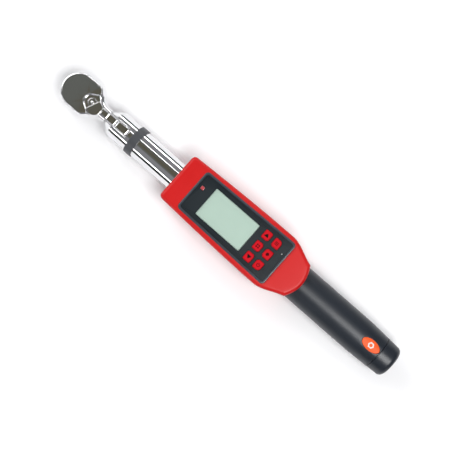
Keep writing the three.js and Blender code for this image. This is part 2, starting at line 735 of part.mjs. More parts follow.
function buildDisplay() {
  add(wrench, 'display_bezel', displayBezel(), 'panel');
  const window = plate(rectangle(LCD_LENGTH, LCD_WIDTH, 0.6, LCD_CENTRE), PANEL_LOW, PANEL_TOP - 0.1);
  add(wrench, 'lcd_window', window, 'glass');
  const glass = rectangle(LCD_LENGTH + 4, LCD_WIDTH + 4, 0.6, LCD_CENTRE);
  add(wrench, 'lcd_module', plate(glass, BOARD_TOP + GAP, PANEL_LOW - GAP), 'lcd');
  const board = rectangle(BEZEL_REAR - BEZEL_FRONT - 6, 37, 2, (BEZEL_FRONT + BEZEL_REAR) / 2);
  add(wrench, 'circuit_board', plate(board, BOARD_LOW, BOARD_TOP), 'board');
  add(wrench, 'main_chip', block(-5, 5, -5, 5, BOARD_LOW - 1.7, BOARD_LOW - GAP), 'chip');
  add(wrench, 'buzzer', bar('z', 5, BOARD_LOW - 3.3, BOARD_LOW - GAP), 'chip', KEY_X[1]);
  add(wrench, 'keypad_mat', keypadMat(), 'redRubber');
  keyPlaces().forEach(([name, x, y]) => {
    add(wrench, name, keyBody(), 'redRubber', x, y);
  });
  const lens = rectangle(LAMP_SIZE, LAMP_SIZE, 0.5);
  add(wrench, 'led_window', plate(lens, PANEL_LOW - 0.6, PANEL_TOP + 0.2, 0.2), 'redLens', LAMP_X, LAMP_Y);
  const lamp = join(block(-1.2, 1.2, -1.2, 1.2, BOARD_TOP + GAP, 38), ball(1, 0, 38));
  add(wrench, 'alarm_led', lamp, 'white', LAMP_X, LAMP_Y);
  add(wrench, 'status_lamp', bar('z', 0.6, BOARD_TOP + GAP, PANEL_TOP), 'white', DOT_X, DOT_Y);
}

// ---------------------------------------------------------------- grip

// The grip's radius at x: even, then falling evenly to the cap's corner.
function gripRadius(x) {
  const share = Math.max(0, (x - GRIP_TAPER_X) / (CAP_CORNER_X - GRIP_TAPER_X));
  return GRIP_RADIUS + (CAP_RADIUS - GRIP_RADIUS) * share;
}

function handleTube() {
  return cut(
    collar(HANDLE_INNER, HANDLE_OUTER, BEAM_REAR - 1, HANDLE_END),
    crossPin(1, GAP, FAR),
  );
}

// The sleeve over the handle tube: a thin front under the housing, and a flat for the badge.
function gripSleeve() {
  const inner = HANDLE_OUTER + GAP;
  const end = CAP_X - 0.2;
  const body = turned([
    [GRIP_FRONT, inner],
    [GRIP_FRONT, GRIP_FRONT_RADIUS],
    [GRIP_STEP_X, GRIP_FRONT_RADIUS],
    [GRIP_STEP_X, GRIP_RADIUS],
    [GRIP_TAPER_X, GRIP_RADIUS],
    [end, gripRadius(end)],
    [end, 14.5],
    [HANDLE_END + GAP, 14.5],
    [HANDLE_END + GAP, inner],
    [GRIP_FRONT, inner],
  ]);
  return cut(body, badgeOval(GAP, BADGE_FLOOR - GAP, FAR));
}

function badgeOval(grow, low, high) {
  const shape = new THREE.Shape();
  shape.absellipse(BADGE_X, 0, BADGE_LENGTH / 2 + grow, BADGE_WIDTH / 2 + grow, 0, 2 * Math.PI);
  return plate(shape, low, high, 0, 0, [28, 1]);
}

// The badge's top follows the grip, a little proud of it.
function badge() {
  const front = BADGE_X - BADGE_LENGTH;
  const rear = BADGE_X + BADGE_LENGTH;
  const proud = 0.3;
  const skin = [[front, 0], [front, gripRadius(front) + proud], [rear, gripRadius(rear) + proud], [rear, 0]];
  return badgeOval(0, BADGE_FLOOR, FAR).intersect(turned(skin));
}

function endCap() {
  const spigot = HANDLE_END + 0.7;
  const profile = [
    [spigot, 11.4],
    [spigot, 13.9],
    [CAP_X - 4, 13.9],
    [CAP_X - 4, 13],
    [CAP_X - 2, 13],
    [CAP_X - 2, 13.9],
    [CAP_X + 0.2, 13.9],
    [CAP_X + 0.2, gripRadius(CAP_X)],
    [CAP_CORNER_X, CAP_RADIUS],
  ];
  const domeSteps = 4;
  for (let i = 1; i <= domeSteps; i += 1) {
    const angle = (i / domeSteps) * (Math.PI / 2);
    const x = CAP_CORNER_X + (END_X - CAP_CORNER_X) * Math.sin(angle);
    profile.push([x, CAP_RADIUS * Math.cos(angle) ** 0.35]);
  }
  profile[profile.length - 1][1] = 0;
  profile.push([CONTACT_END + GAP, 0], [CONTACT_END + GAP, 11.4], [spigot, 11.4]);
  return turned(profile);
}

// A cell: its can and the nub at its front.
function battery() {
  const can = bar('x', BATTERY_RADIUS, NUB_LENGTH, NUB_LENGTH + BATTERY_LENGTH, 0, 0, ROUND_STEPS);
  return join(can, bar('x', 2.6, 0, NUB_LENGTH + 1));
}

function buildGrip() {
  add(axis, 'handle_tube', handleTube(), 'steel');
  add(axis, 'grip_sleeve', gripSleeve(), 'grip');
  add(axis, 'battery_sleeve', collar(7.7, HANDLE_INNER - GAP, BATTERY_X - 1, HANDLE_END), 'white');
  add(axis, 'battery_front', battery(), 'battery', BATTERY_X + GAP);
  add(axis, 'battery_rear', battery(), 'battery', BATTERY_X + GAP + CELL_PITCH);
  add(axis, 'contact_plate', bar('x', 7, BATTERY_X - 0.8, BATTERY_X), 'brass');
  add(axis, 'contact_spring', spring(4, 0.5, CONTACT_START, CONTACT_END, 4), 'brass');
  add(axis, 'end_cap', endCap(), 'grip');
  const ring = [[CAP_X - 3.6, 13.2], [CAP_X - 2.4, 13.2], [CAP_X - 2.4, 14.2], [CAP_X - 3.6, 14.2]];
  add(axis, 'cap_o_ring', turned([...ring, ring[0]]), 'chip');
  add(axis, 'grip_badge', badge(), 'badge');
}

buildHead();
buildFlexJoint();
buildSensingBeam();
buildHousing();
buildDisplay();
buildGrip();

export default wrench;
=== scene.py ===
"""Looks for the electronic torque wrench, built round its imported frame.

Lengths are millimetres until a mesh is made, and metres in the studio.
"""

import json
import math

import bmesh
import bpy
from mathutils import Matrix, Vector


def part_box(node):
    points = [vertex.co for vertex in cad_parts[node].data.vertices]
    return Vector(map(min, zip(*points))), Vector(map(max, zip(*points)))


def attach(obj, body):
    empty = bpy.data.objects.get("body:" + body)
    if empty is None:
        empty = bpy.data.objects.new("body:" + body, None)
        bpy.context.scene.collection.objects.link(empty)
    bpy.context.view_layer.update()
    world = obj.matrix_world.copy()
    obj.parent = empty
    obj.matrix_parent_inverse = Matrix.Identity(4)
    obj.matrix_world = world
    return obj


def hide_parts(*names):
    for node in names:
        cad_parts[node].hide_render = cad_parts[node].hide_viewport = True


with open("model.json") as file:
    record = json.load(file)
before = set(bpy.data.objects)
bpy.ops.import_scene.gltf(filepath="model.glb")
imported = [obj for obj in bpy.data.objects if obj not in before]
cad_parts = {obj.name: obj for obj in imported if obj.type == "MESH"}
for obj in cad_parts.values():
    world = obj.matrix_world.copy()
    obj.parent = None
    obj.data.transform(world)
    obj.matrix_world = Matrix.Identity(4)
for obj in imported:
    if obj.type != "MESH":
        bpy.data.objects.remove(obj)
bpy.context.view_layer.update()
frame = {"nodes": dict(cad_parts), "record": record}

MM = 0.001
ROUND = 128  # sides of a large round
SMALL = 48  # and of a small one
TUBE_SIDES = 160  # and of the tube and its band, whose reflections show every facet
SMOOTH_BELOW = 25  # degrees between two faces, under which they are shaded as one
FAR = 80  # past anything a cut goes through
GAP = 0.3  # between pieces that touch


def span(name):
    """A node's lowest and highest corners."""
    low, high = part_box(name)
    return low / MM, high / MM


def middle(name):
    low, high = span(name)
    return (low + high) / 2


# ---------------------------------------------------------------- dimensions

AXIS_Z = middle("beam_tube").z
TUBE_START, TUBE_END = (corner.x for corner in span("beam_tube"))
TUBE_RADIUS = span("beam_tube")[1].y
TUBE_BORE = 10.5
NOSE_RADIUS = 7.2
NOSE_LENGTH = 8.2
NOSE_GROOVE = (0.8, 1.4, 0.4)  # behind the cone, its width and depth
BAND_START, BAND_END = (corner.x for corner in span("ring_band"))
BAND_RADIUS = span("ring_band")[1].y
PIN_X = middle("flex_pin").x
PIN_RADIUS = 2.5
PIN_HALF = span("flex_pin")[1].y
EYE_RADIUS = 5.7
EYE_FRONT = 6.6  # from the pin to where the eye's flat top starts
WAIST_HALF = 3.4  # half the tongue's height, between the neck and the eye
TONGUE_HALF = 3.2
SLOT_HALF = 4.4
SLOT_END = PIN_X + 8
SHOULDER_GAP = 18.4  # from the pin to the neck's shoulder, which clears the fork at the limits

HEAD_RADIUS = span("ratchet_head")[1].y
HEAD_X = span("ratchet_head")[0].x + HEAD_RADIUS
HEAD_TOP = 10
HEAD_BOTTOM = -7.5
SHOULDER_X = 12.2
NECK_X = 29.8
NECK_HALF = 7
NECK_TOP = 5.5
NECK_BOTTOM = -6
NECK_EDGE = 5.6  # rounding of the pocket's floor at the neck
KEEL_EDGE = 4.5  # and of the neck's underside
PAWL_X = 16.2
GEAR_POCKET = 13  # radius of the hollow round the gear
PAWL_POCKET = 9.2  # and of the one round the pawl
POCKET_TOP = 3.5  # the top of both
POST_RADIUS = 1.9  # the lever's, through the head
LEVER_ANGLE = math.radians(-24)
COVER_RADIUS = 13.6
COVER_THICK = 1.8
COVER_EAR = 3.3
COVER_SCREW = (12, 10.8)
SCREW_RECESS = 2.2  # radius round a screw's head
SQUARE = 9.53
BOSS_RADIUS = 8
BOSS_LOW = HEAD_BOTTOM - 0.9

HOUSING_FRONT = span("upper_housing")[0].x
HOUSING_REAR = span("upper_housing")[1].x
HOUSING_TOP = span("upper_housing")[1].z
PARTING_Z = 22  # where the two shells meet
FRONT_HALF = 24.1
REAR_HALF = 27.1
TAPER_X = 56
LIP_X = 82.8
LIP_HALF = 17.9
CORNER = 4
EDGE = 3.5
WALL = 2.6
SCREWS = [(-48, 19), (-48, -19), (52, 21), (52, -21)]

BEZEL_FRONT, BEZEL_REAR = (corner.x for corner in span("display_bezel"))
BEZEL_TOP = span("display_bezel")[1].z
PANEL_LOW = span("display_bezel")[0].z
PANEL_TOP = 43.5
BEZEL_HALVES = (20.9, 23.2)
BEZEL_CORNER = 3.6
BEZEL_RIM = 1.7
KEYS = {
    "button_up": (0, 1),
    "button_memory": (1, 1),
    "button_mode": (0, 0),
    "button_units": (1, 0),
    "button_down": (0, -1),
    "button_power": (1, -1),
}
KEY_SIZE = (7.6, 8.6)
KEY_TOP = span("button_up")[1].z
KEY_CROWN = 0.12  # how far a key's middle rises over its edge
SIGN_PROUD = 0.02

GRIP_RADIUS = span("grip_sleeve")[1].y
GRIP_START, GRIP_END = (corner.x for corner in span("grip_sleeve"))
GRIP_STEP_X = 84
GRIP_NECK = 15.5  # radius before the step, in the housing
GRIP_TAPER_X = 158
GRIP_BORE = 12.3
SOCKET_X = 167.8  # where the grip's bore widens for the cap's spigot
SOCKET_RADIUS = 14.5
SPIGOT_X = 168.2
SPIGOT_RADIUS = 13.9
SPIGOT_BORE = 11.4
CAP_X = 178.7
CAP_CORNER_X = 189.6
CAP_RADIUS = 15.3
CAP_END = span("end_cap")[1].x
BADGE = middle("grip_badge")
BADGE_HALVES = (9.25, 5)  # half its length and half its width
BADGE_FLOOR = span("grip_badge")[0].z - AXIS_Z


# ---------------------------------------------------------------- outlines

def steps_between(start, end, count):
    return [start + (end - start) * i / count for i in range(count + 1)]


def arc(x, y, radius, start, end, count):
    """Points on an arc between two angles in degrees."""
    angles = [math.radians(a) for a in steps_between(start, end, count)]
    return [(x + radius * math.cos(a), y + radius * math.sin(a)) for a in angles]


def bezier(a, b, c, d, count):
    """Points on a cubic curve after its first."""
    points = []
    for t in steps_between(0, 1, count)[1:]:
        weights = ((1 - t) ** 3, 3 * t * (1 - t) ** 2, 3 * t * t * (1 - t), t ** 3)
        points.append(tuple(sum(w * p[k] for w, p in zip(weights, (a, b, c, d))) for k in (0, 1)))
    return points


def mirrored(half):
    """An outline from its half above the X axis, which runs from the rear to the front."""
    below = [(x, -y) for x, y in reversed(half) if abs(y) > 1e-6]
    return half + below


def rounded(points, radii, count=6, closed=True):
    """The points with their corners rounded, each by its own radius or all by one."""
    if not isinstance(radii, (list, tuple)):
        radii = [radii] * len(points)
    result = []
    for i, (point, radius) in enumerate(zip(points, radii)):
        ends = not closed and i in (0, len(points) - 1)
        if ends or radius <= 0:
            result.append(tuple(point))
            continue
        here = Vector(point)
        before = Vector(points[i - 1]) - here
        after = Vector(points[(i + 1) % len(points)]) - here
        half_angle = before.angle(after) / 2
        reach = min(radius / math.tan(half_angle), before.length * 0.49, after.length * 0.49)
        radius = reach * math.tan(half_angle)
        halfway = (before.normalized() + after.normalized()).normalized()
        centre = here + halfway * radius / math.sin(half_angle)
        start = here + before.normalized() * reach - centre
        end = here + after.normalized() * reach - centre
        turn = start.angle_signed(end)
        for t in steps_between(0, -turn, count):
            spoke = Matrix.Rotation(t, 2) @ start
            result.append(tuple(centre + spoke))
    return result


def rectangle(length, width, radius, x=0, y=0):
    u, v = length / 2, width / 2
    return rounded([(x - u, y - v), (x + u, y - v), (x + u, y + v), (x - u, y + v)], radius)


def inset(outline, distance):
    """The outline drawn in by a distance, with corners too tight for it closed to a point."""
    if distance == 0:
        return list(outline)
    result = []
    for i, point in enumerate(outline):
        here = Vector(point)
        along = (here - Vector(outline[i - 1])).normalized()
        on = (Vector(outline[(i + 1) % len(outline)]) - here).normalized()
        mitre = Vector((-along.y - on.y, along.x + on.x))
        if mitre.length < 1e-6:
            mitre = Vector((-on.y, on.x))
        mitre.normalize()
        spread = max(0.35, mitre.dot(Vector((-on.y, on.x))))
        result.append(tuple(here + mitre * distance / spread))
    for _ in range(4):
        for i, point in enumerate(outline):
            j = (i + 1) % len(outline)
            side = Vector(outline[j]) - Vector(point)
            drawn = Vector(result[j]) - Vector(result[i])
            if side.dot(drawn) < 0:
                result[i] = result[j] = tuple(Vector(result[i]) + drawn / 2)
    return result


# ---------------------------------------------------------------- meshes

def make(name, points, faces):
    """A closed mesh of points in millimetres, facing out."""
    shape = bmesh.new()
    corners = [shape.verts.new([c * MM for c in point]) for point in points]
    for face in faces:
        shape.faces.new([corners[i] for i in face])
    bmesh.ops.remove_doubles(shape, verts=shape.verts, dist=1e-7)
    bmesh.ops.recalc_face_normals(shape, faces=shape.faces)
    mesh = bpy.data.meshes.new(name)
    shape.to_mesh(mesh)
    shape.free()
    piece = bpy.data.objects.new(name, mesh)
    bpy.context.scene.collection.objects.link(piece)
    return piece


def loft(name, rings, capped=True):
    """A skin over rings of points, each with as many points; capped at both ends, or joined end to start."""
    count = len(rings[0])
    points = [point for ring in rings for point in ring]
    faces = []
    pairs = list(zip(range(len(rings)), range(1, len(rings))))
    if not capped:
        pairs.append((len(rings) - 1, 0))
    for low, high in pairs:
        for i in range(count):
            j = (i + 1) % count
            faces.append([low * count + i, low * count + j, high * count + j, high * count + i])
    if capped:
        faces.append(list(reversed(range(count))))
        faces.append([(len(rings) - 1) * count + i for i in range(count)])
    return make(name, points, faces)


def quarter(edge, count=7):
    """Steps of a rounded edge as (drawn in, down) pairs, from the side to the face."""
    across, rise = edge
    if across == 0:
        return [(0, 0)]
    angles = steps_between(0, math.pi / 2, count)
    return [(across * (1 - math.cos(a)), rise * (1 - math.sin(a))) for a in angles]


def slab(name, outline, low, high, low_edge=(0, 0), high_edge=(0, 0), dome=0):
    """A plate of the outline, its edges rounded by (drawn in, rise), and its top raised in the middle."""
    levels = [(across, low + down) for across, down in reversed(quarter(low_edge))]
    levels += [(across, high - down) for across, down in quarter(high_edge)]
    rings = [[(x, y, z) for x, y in inset(outline, across)] for across, z in levels]
    if dome:
        top = rings[-1]
        centre = Vector([sum(p[k] for p in top) / len(top) for k in range(3)])
        for share in (0.85, 0.65, 0.45, 0.25, 0.1):
            lift = Vector((0, 0, dome * (1 - share * share)))
            rings.append([centre + (Vector(p) - centre) * share + lift for p in top])
    return loft(name, rings)


def turned(name, profile, sides=ROUND, closed=False):
    """A body turned about the tube's axis, from (x, radius) pairs; a closed profile makes a ring."""
    rings = []
    for x, radius in profile:
        radius = max(radius, 1e-4)
        circle = [2 * math.pi * i / sides for i in range(sides)]
        rings.append([(x, radius * math.cos(a), AXIS_Z + radius * math.sin(a)) for a in circle])
    return loft(name, rings, capped=not closed)


def rod(axis, radius, low, high, u=0, v=0, sides=SMALL):
    """A round bar to cut or join with, along an axis, through (u, v) on the other two in order."""
    rings = []
    for along in (low, high):
        ring = []
        for i in range(sides):
            a = 2 * math.pi * i / sides
            p, q = u + radius * math.cos(a), v + radius * math.sin(a)
            ring.append({"x": (along, p, q), "y": (p, along, q), "z": (p, q, along)}[axis])
        rings.append(ring)
    return loft("rod", rings)


def block(x0, x1, y0, y1, z0, z1):
    return slab("block", [(x0, y0), (x1, y0), (x1, y1), (x0, y1)], z0, z1)


def settle(piece):
    """Makes the piece's modifiers part of its mesh, then merges doubles and splits many-sided faces."""
    bpy.context.view_layer.update()
    depsgraph = bpy.context.evaluated_depsgraph_get()
    mesh = bpy.data.meshes.new_from_object(piece.evaluated_get(depsgraph))
    piece.modifiers.clear()
    piece.data = mesh
    shape = bmesh.new()
    shape.from_mesh(mesh)
    bmesh.ops.remove_doubles(shape, verts=shape.verts, dist=2e-6)
    bmesh.ops.dissolve_degenerate(shape, edges=shape.edges, dist=2e-6)
    loose = [edge for edge in shape.edges if not edge.link_faces]
    bmesh.ops.delete(shape, geom=loose, context="EDGES")
    many_sided = [face for face in shape.faces if len(face.verts) > 4]
    bmesh.ops.triangulate(shape, faces=many_sided)
    shape.to_mesh(mesh)
    shape.free()
    return piece


def combine(piece, operation, tools):
    for tool in tools:
        modifier = piece.modifiers.new(operation, "BOOLEAN")
        modifier.operation = operation
        modifier.solver = "EXACT"
        modifier.object = tool
    settle(piece)
    for tool in tools:
        bpy.data.objects.remove(tool)
    return piece


def carve(piece, *tools):
    return combine(piece, "DIFFERENCE", tools)


def weld(piece, *tools):
    return combine(piece, "UNION", tools)


def soften(piece, width, segments=2, angle=35):
    """Rounds the piece's sharp edges. A corner thrown out of the piece's box goes back on its side."""
    spots = [vertex.co for vertex in piece.data.vertices]
    low = [min(spot[axis] for spot in spots) for axis in range(3)]
    high = [max(spot[axis] for spot in spots) for axis in range(3)]
    modifier = piece.modifiers.new("edges", "BEVEL")
    modifier.width = width * MM
    modifier.segments = segments
    modifier.limit_method = "ANGLE"
    modifier.angle_limit = math.radians(angle)
    modifier.use_clamp_overlap = False
    modifier.miter_outer = "MITER_ARC"
    settle(piece)
    for vertex in piece.data.vertices:
        vertex.co = [min(max(at, least), most) for at, least, most in zip(vertex.co, low, high)]
    return piece


def shade(piece):
    """Smooth shading, broken at sharp edges, so that flat faces stay flat."""
    limit = math.radians(SMOOTH_BELOW)
    mesh = piece.data
    shape = bmesh.new()
    shape.from_mesh(mesh)
    for face in shape.faces:
        face.smooth = True
    for edge in shape.edges:
        edge.smooth = len(edge.link_faces) == 2 and edge.calc_face_angle(0) < limit
    shape.to_mesh(mesh)
    shape.free()
    modifier = piece.modifiers.new("even", "WEIGHTED_NORMAL")
    modifier.keep_sharp = True


def dress(piece, look, body, slot, *replaced):
    """Shades a new piece, gives it its material and its body, and hides the nodes it stands for. The slot is
    not used.
    """
    shade(piece)
    piece.data.materials.clear()
    piece.data.materials.append(look)
    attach(piece, body)
    if replaced:
        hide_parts(*replaced)


def place(piece, x, y=0, z=0, turn=0):
    """Moves a mesh made about the origin to its place."""
    piece.data.transform(Matrix.Translation(Vector((x, y, z)) * MM) @ Matrix.Rotation(turn, 4, "Z"))
    return piece


# ---------------------------------------------------------------- materials

def node(tree, kind, **sockets):
    made = tree.nodes.new(kind)
    for key, value in sockets.items():
        made.inputs[key.replace("_", " ")].default_value = value
    return made


def scaled(tree, value, low, high):
    """A 0 to 1 value brought between low and high."""
    made = tree.nodes.new("ShaderNodeMapRange")
    made.inputs["To Min"].default_value = low
    made.inputs["To Max"].default_value = high
    tree.links.new(value, made.inputs["Value"])
    return made.outputs["Result"]


def noise(tree, where, scale, detail=3.0, stretch=(1, 1, 1)):
    """Noise with that many features a metre, drawn out along the axes whose stretch is over 1."""
    mapping = tree.nodes.new("ShaderNodeMapping")
    mapping.inputs["Scale"].default_value = [1 / s for s in stretch]
    tree.links.new(where, mapping.inputs["Vector"])
    made = node(tree, "ShaderNodeTexNoise", Scale=scale, Detail=detail, Roughness=0.6)
    tree.links.new(mapping.outputs["Vector"], made.inputs["Vector"])
    return made.outputs["Fac"]


def finish(name, color, roughness, metallic=0.0, vary=0.05, patch=40, rough_vary=0.06,
           grain=2200, depth=0.01, stretch=(1, 1, 1), worn=0.0, **sockets):
    """A material: colour and gloss that vary in patches, a fine grain in relief, and wear at the edges."""
    material = bpy.data.materials.new(name)
    material.use_nodes = True
    tree = material.node_tree
    shader = tree.nodes["Principled BSDF"]
    shader.inputs["Metallic"].default_value = metallic
    for key, value in sockets.items():
        shader.inputs[key.replace("_", " ")].default_value = value
    where = tree.nodes.new("ShaderNodeTexCoord").outputs["Object"]
    patches = noise(tree, where, patch)
    fine = noise(tree, where, grain, 2.0, stretch)
    dark = [c * (1 - vary) for c in color] + [1]
    light = [min(1, c * (1 + vary)) for c in color] + [1]
    ramp = tree.nodes.new("ShaderNodeValToRGB")
    ramp.color_ramp.elements[0].color = dark
    ramp.color_ramp.elements[0].position = 0.3
    ramp.color_ramp.elements[1].color = light
    ramp.color_ramp.elements[1].position = 0.7
    tree.links.new(patches, ramp.inputs["Fac"])
    tone = ramp.outputs["Color"]
    if worn:
        edges = tree.nodes.new("ShaderNodeNewGeometry").outputs["Pointiness"]
        rubbed = tree.nodes.new("ShaderNodeMapRange")
        rubbed.inputs["From Min"].default_value = 0.52
        rubbed.inputs["From Max"].default_value = 0.60
        rubbed.inputs["To Max"].default_value = worn
        tree.links.new(edges, rubbed.inputs["Value"])
        mix = tree.nodes.new("ShaderNodeMix")
        mix.data_type = "RGBA"
        mix.inputs["B"].default_value = [min(1, c * 1.6 + 0.03) for c in color] + [1]
        tree.links.new(rubbed.outputs["Result"], mix.inputs["Factor"])
        tree.links.new(tone, mix.inputs["A"])
        tone = mix.outputs["Result"]
    tree.links.new(tone, shader.inputs["Base Color"])
    gloss = scaled(tree, patches, max(0.02, roughness - rough_vary), roughness + rough_vary)
    tree.links.new(gloss, shader.inputs["Roughness"])
    bump = node(tree, "ShaderNodeBump", Strength=1.0, Distance=depth * MM)
    tree.links.new(fine, bump.inputs["Height"])
    tree.links.new(bump.outputs["Normal"], shader.inputs["Normal"])
    return material


LOOKS = {
    "chrome": finish("chrome_plate", (0.83, 0.83, 0.84), 0.055, 1.0, vary=0.02, rough_vary=0.02,
                     grain=900, depth=0.002, stretch=(6, 1, 1)),
    "steel": finish("machined_steel", (0.50, 0.50, 0.51), 0.30, 1.0, vary=0.06, grain=3000, depth=0.006,
                    stretch=(14, 1, 1)),
    "brass": finish("plated_brass", (0.70, 0.50, 0.20), 0.30, 1.0, grain=1500, depth=0.006),
    "red_plastic": finish("red_plastic", (0.52, 0.008, 0.008), 0.36, vary=0.03, patch=25, grain=2600,
                          depth=0.012, worn=0.15, Specular_IOR_Level=0.25),
    "red_rubber": finish("key_rubber", (0.50, 0.007, 0.014), 0.50, vary=0.05, patch=120, grain=4000,
                         depth=0.01, Specular_IOR_Level=0.05),
    "red_lens": finish("led_lens", (0.42, 0.06, 0.07), 0.15, vary=0.08, patch=300, grain=2500, depth=0.01,
                       Coat_Weight=0.6),
    "panel": finish("panel_face", (0.009, 0.014, 0.018), 0.24, vary=0.03, patch=30, grain=5000, depth=0.004,
                    worn=0.2),
    # The rim's lighter grey is partly its own colour and partly a painted highlight for the raised rim's
    # sheen.
    "rim": finish("panel_rim", (0.040, 0.048, 0.060), 0.20, vary=0.03, patch=60, grain=5000, depth=0.003),
    "lcd_glass": finish("lcd_window", (0.55, 0.69, 0.61), 0.16, vary=0.02, patch=20, rough_vary=0.03,
                        grain=1500, depth=0.001, Alpha=0.45),
    "lcd": finish("lcd_face", (0.51, 0.67, 0.58), 0.40, vary=0.02, patch=15, grain=3500, depth=0.004),
    "band": finish("rubber_band", (0.050, 0.053, 0.060), 0.42, vary=0.05, grain=3000, depth=0.012),
    "grip": finish("soft_grip", (0.009, 0.013, 0.020), 0.40, vary=0.08, patch=30, grain=3200, depth=0.012,
                   worn=0.1),
    "badge": finish("badge_enamel", (0.80, 0.095, 0.015), 0.45, vary=0.04, patch=80, grain=1500, depth=0.002,
                    Specular_IOR_Level=0.2),
    "board": finish("circuit_board", (0.02, 0.15, 0.06), 0.40, vary=0.25, patch=400, grain=2500, depth=0.01),
    "chip": finish("black_moulding", (0.02, 0.02, 0.022), 0.45, grain=3500, depth=0.01),
    "white": finish("white_plastic", (0.72, 0.72, 0.70), 0.40, vary=0.03, grain=2500, depth=0.008),
    "foil": finish("gauge_foil", (0.55, 0.32, 0.10), 0.35, vary=0.15, patch=900, grain=4000, depth=0.01,
                   stretch=(8, 1, 1)),
    "battery": finish("cell_jacket", (0.05, 0.055, 0.06), 0.30, 0.2, vary=0.15, patch=60, grain=2000,
                      depth=0.004),
    "ink": finish("key_print", (0.006, 0.006, 0.006), 0.7, grain=5000, depth=0.004, Specular_IOR_Level=0.05),
    "faint_ink": finish("key_print_red", (0.05, 0.002, 0.004), 0.7, grain=5000, depth=0.004,
                        Specular_IOR_Level=0.05),
    "badge_print": finish("badge_print", (0.66, 0.64, 0.60), 0.5, vary=0.03, grain=3000, depth=0.003,
                          Specular_IOR_Level=0.2),
}


def paint_nodes():
    """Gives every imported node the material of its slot, for those that no piece replaces."""
    slots = {part["node"]: part["material_slot"] for part in frame["record"]["subparts"]}
    for piece in frame["nodes"].values():
        piece.data.materials.clear()
        piece.data.materials.append(LOOKS[slots[piece.name]])


# ---------------------------------------------------------------- ratchet head

def head_outline(past=0):
    """The head and neck from above, about the drive's axis, the neck drawn that far past its shoulder."""
    end = PIN_X - SHOULDER_GAP - HEAD_X + past
    half = [(end, NECK_HALF), (NECK_X, NECK_HALF)]
    half += bezier((NECK_X, NECK_HALF), (NECK_X - 9, NECK_HALF), (SHOULDER_X + 6.3, HEAD_RADIUS),
                   (SHOULDER_X, HEAD_RADIUS), 20)
    half += arc(0, 0, HEAD_RADIUS, 90, 180, 40)
    return mirrored(half)


def pocket_outline():
    """The V with a round point that the lever lies in, in the head's own frame."""
    rounding = 5.6
    centre = 8.3 + rounding
    turn = 59
    tip = arc(centre, 0, rounding, 180 - turn, 180 + turn, 24)
    reach = 30
    slope = math.tan(math.radians(90 - turn))
    far_x = tip[0][0] + reach
    far_y = tip[0][1] + reach * slope
    return tip + [(far_x, -far_y), (far_x, far_y)]


def flat_tool(name, outline, low, high, flare=0, flare_rise=0):
    """A cutter of the outline that opens out by flare over the top of its height."""
    rings = [[(x, y, z) for x, y in inset(outline, across)] for across, z in (
        (0, low), (0, high - flare_rise), (-flare, high), (-flare, high + 5))]
    return loft(name, rings)


def cover_tools(low, high, grow):
    """The rounds that make up the cover: over the gear, over the pawl, and an ear at each screw."""
    tools = [rod("z", COVER_RADIUS + grow, low, high, sides=96)]
    tools.append(rod("z", PAWL_POCKET + 0.4 + grow, low, high, PAWL_X, 0, sides=72))
    for side in (1, -1):
        tools.append(rod("z", COVER_EAR + grow, low, high, COVER_SCREW[0], side * COVER_SCREW[1]))
    return tools


def tongue_piece(start, pin):
    """The tongue that goes in the fork: a waist, then an eye with a flat top and underside."""
    half = [(start - 1.5, WAIST_HALF), (pin - EYE_FRONT - 3, WAIST_HALF), (pin - EYE_FRONT, EYE_RADIUS),
            (pin + EYE_RADIUS, EYE_RADIUS)]
    profile = half + [(x, -z) for x, z in reversed(half)]
    side = rounded(profile, [0, 2, 1.0, 1.8, 1.8, 1.0, 2, 0], 8)
    piece = loft("tongue", [[(x, y, z) for x, z in side] for y in (-TONGUE_HALF, TONGUE_HALF)])
    return soften(piece, 0.55, 3, 60)


def build_head():
    """The forging: the ratchet's head with the lever's pocket, the round-edged neck, and the tongue."""
    pin = PIN_X - HEAD_X
    head = slab("head_forging", head_outline(), HEAD_BOTTOM, HEAD_TOP, (1, 1), (2.4, 4))
    longer = head_outline(12)
    floor = slab("floor", longer, HEAD_BOTTOM, NECK_TOP, (0, 0), (NECK_EDGE, NECK_EDGE))
    pocket = flat_tool("pocket", pocket_outline(), NECK_TOP - NECK_EDGE, HEAD_TOP, 0.8, 1.5)
    carve(pocket, floor)
    neck_low = block(NECK_X - 3, FAR, -FAR, FAR, -FAR, NECK_BOTTOM + KEEL_EDGE)
    carve(neck_low, slab("keel", longer, NECK_BOTTOM, HEAD_TOP, (KEEL_EDGE, KEEL_EDGE)))
    carve(head, pocket)
    carve(head, neck_low)
    weld(head, tongue_piece(pin - SHOULDER_GAP, pin))
    carve(head, rod("y", PIN_RADIUS + GAP, -FAR, FAR, pin, 0),
          *cover_tools(HEAD_BOTTOM - 1, HEAD_BOTTOM + COVER_THICK + GAP, GAP),
          rod("z", GEAR_POCKET, HEAD_BOTTOM - 1, POCKET_TOP, sides=96),
          rod("z", PAWL_POCKET, HEAD_BOTTOM - 1, POCKET_TOP, PAWL_X, 0, 72),
          rod("z", POST_RADIUS + GAP, 0, FAR, PAWL_X, 0))
    soften(head, 0.3)
    place(head, HEAD_X, 0, AXIS_Z)
    dress(head, LOOKS["chrome"], "head", "chrome", "ratchet_head")


def lever_outline():
    half = [(12.9, 0.6), (11, 4.8), (8.3, 7.3), (2.5, 6.9)]
    corners = half + [(x, -y) for x, y in reversed(half)]
    radii = [0.5, 1.2, 1.1, 0.7]
    return rounded(corners, radii + radii[::-1], 5)


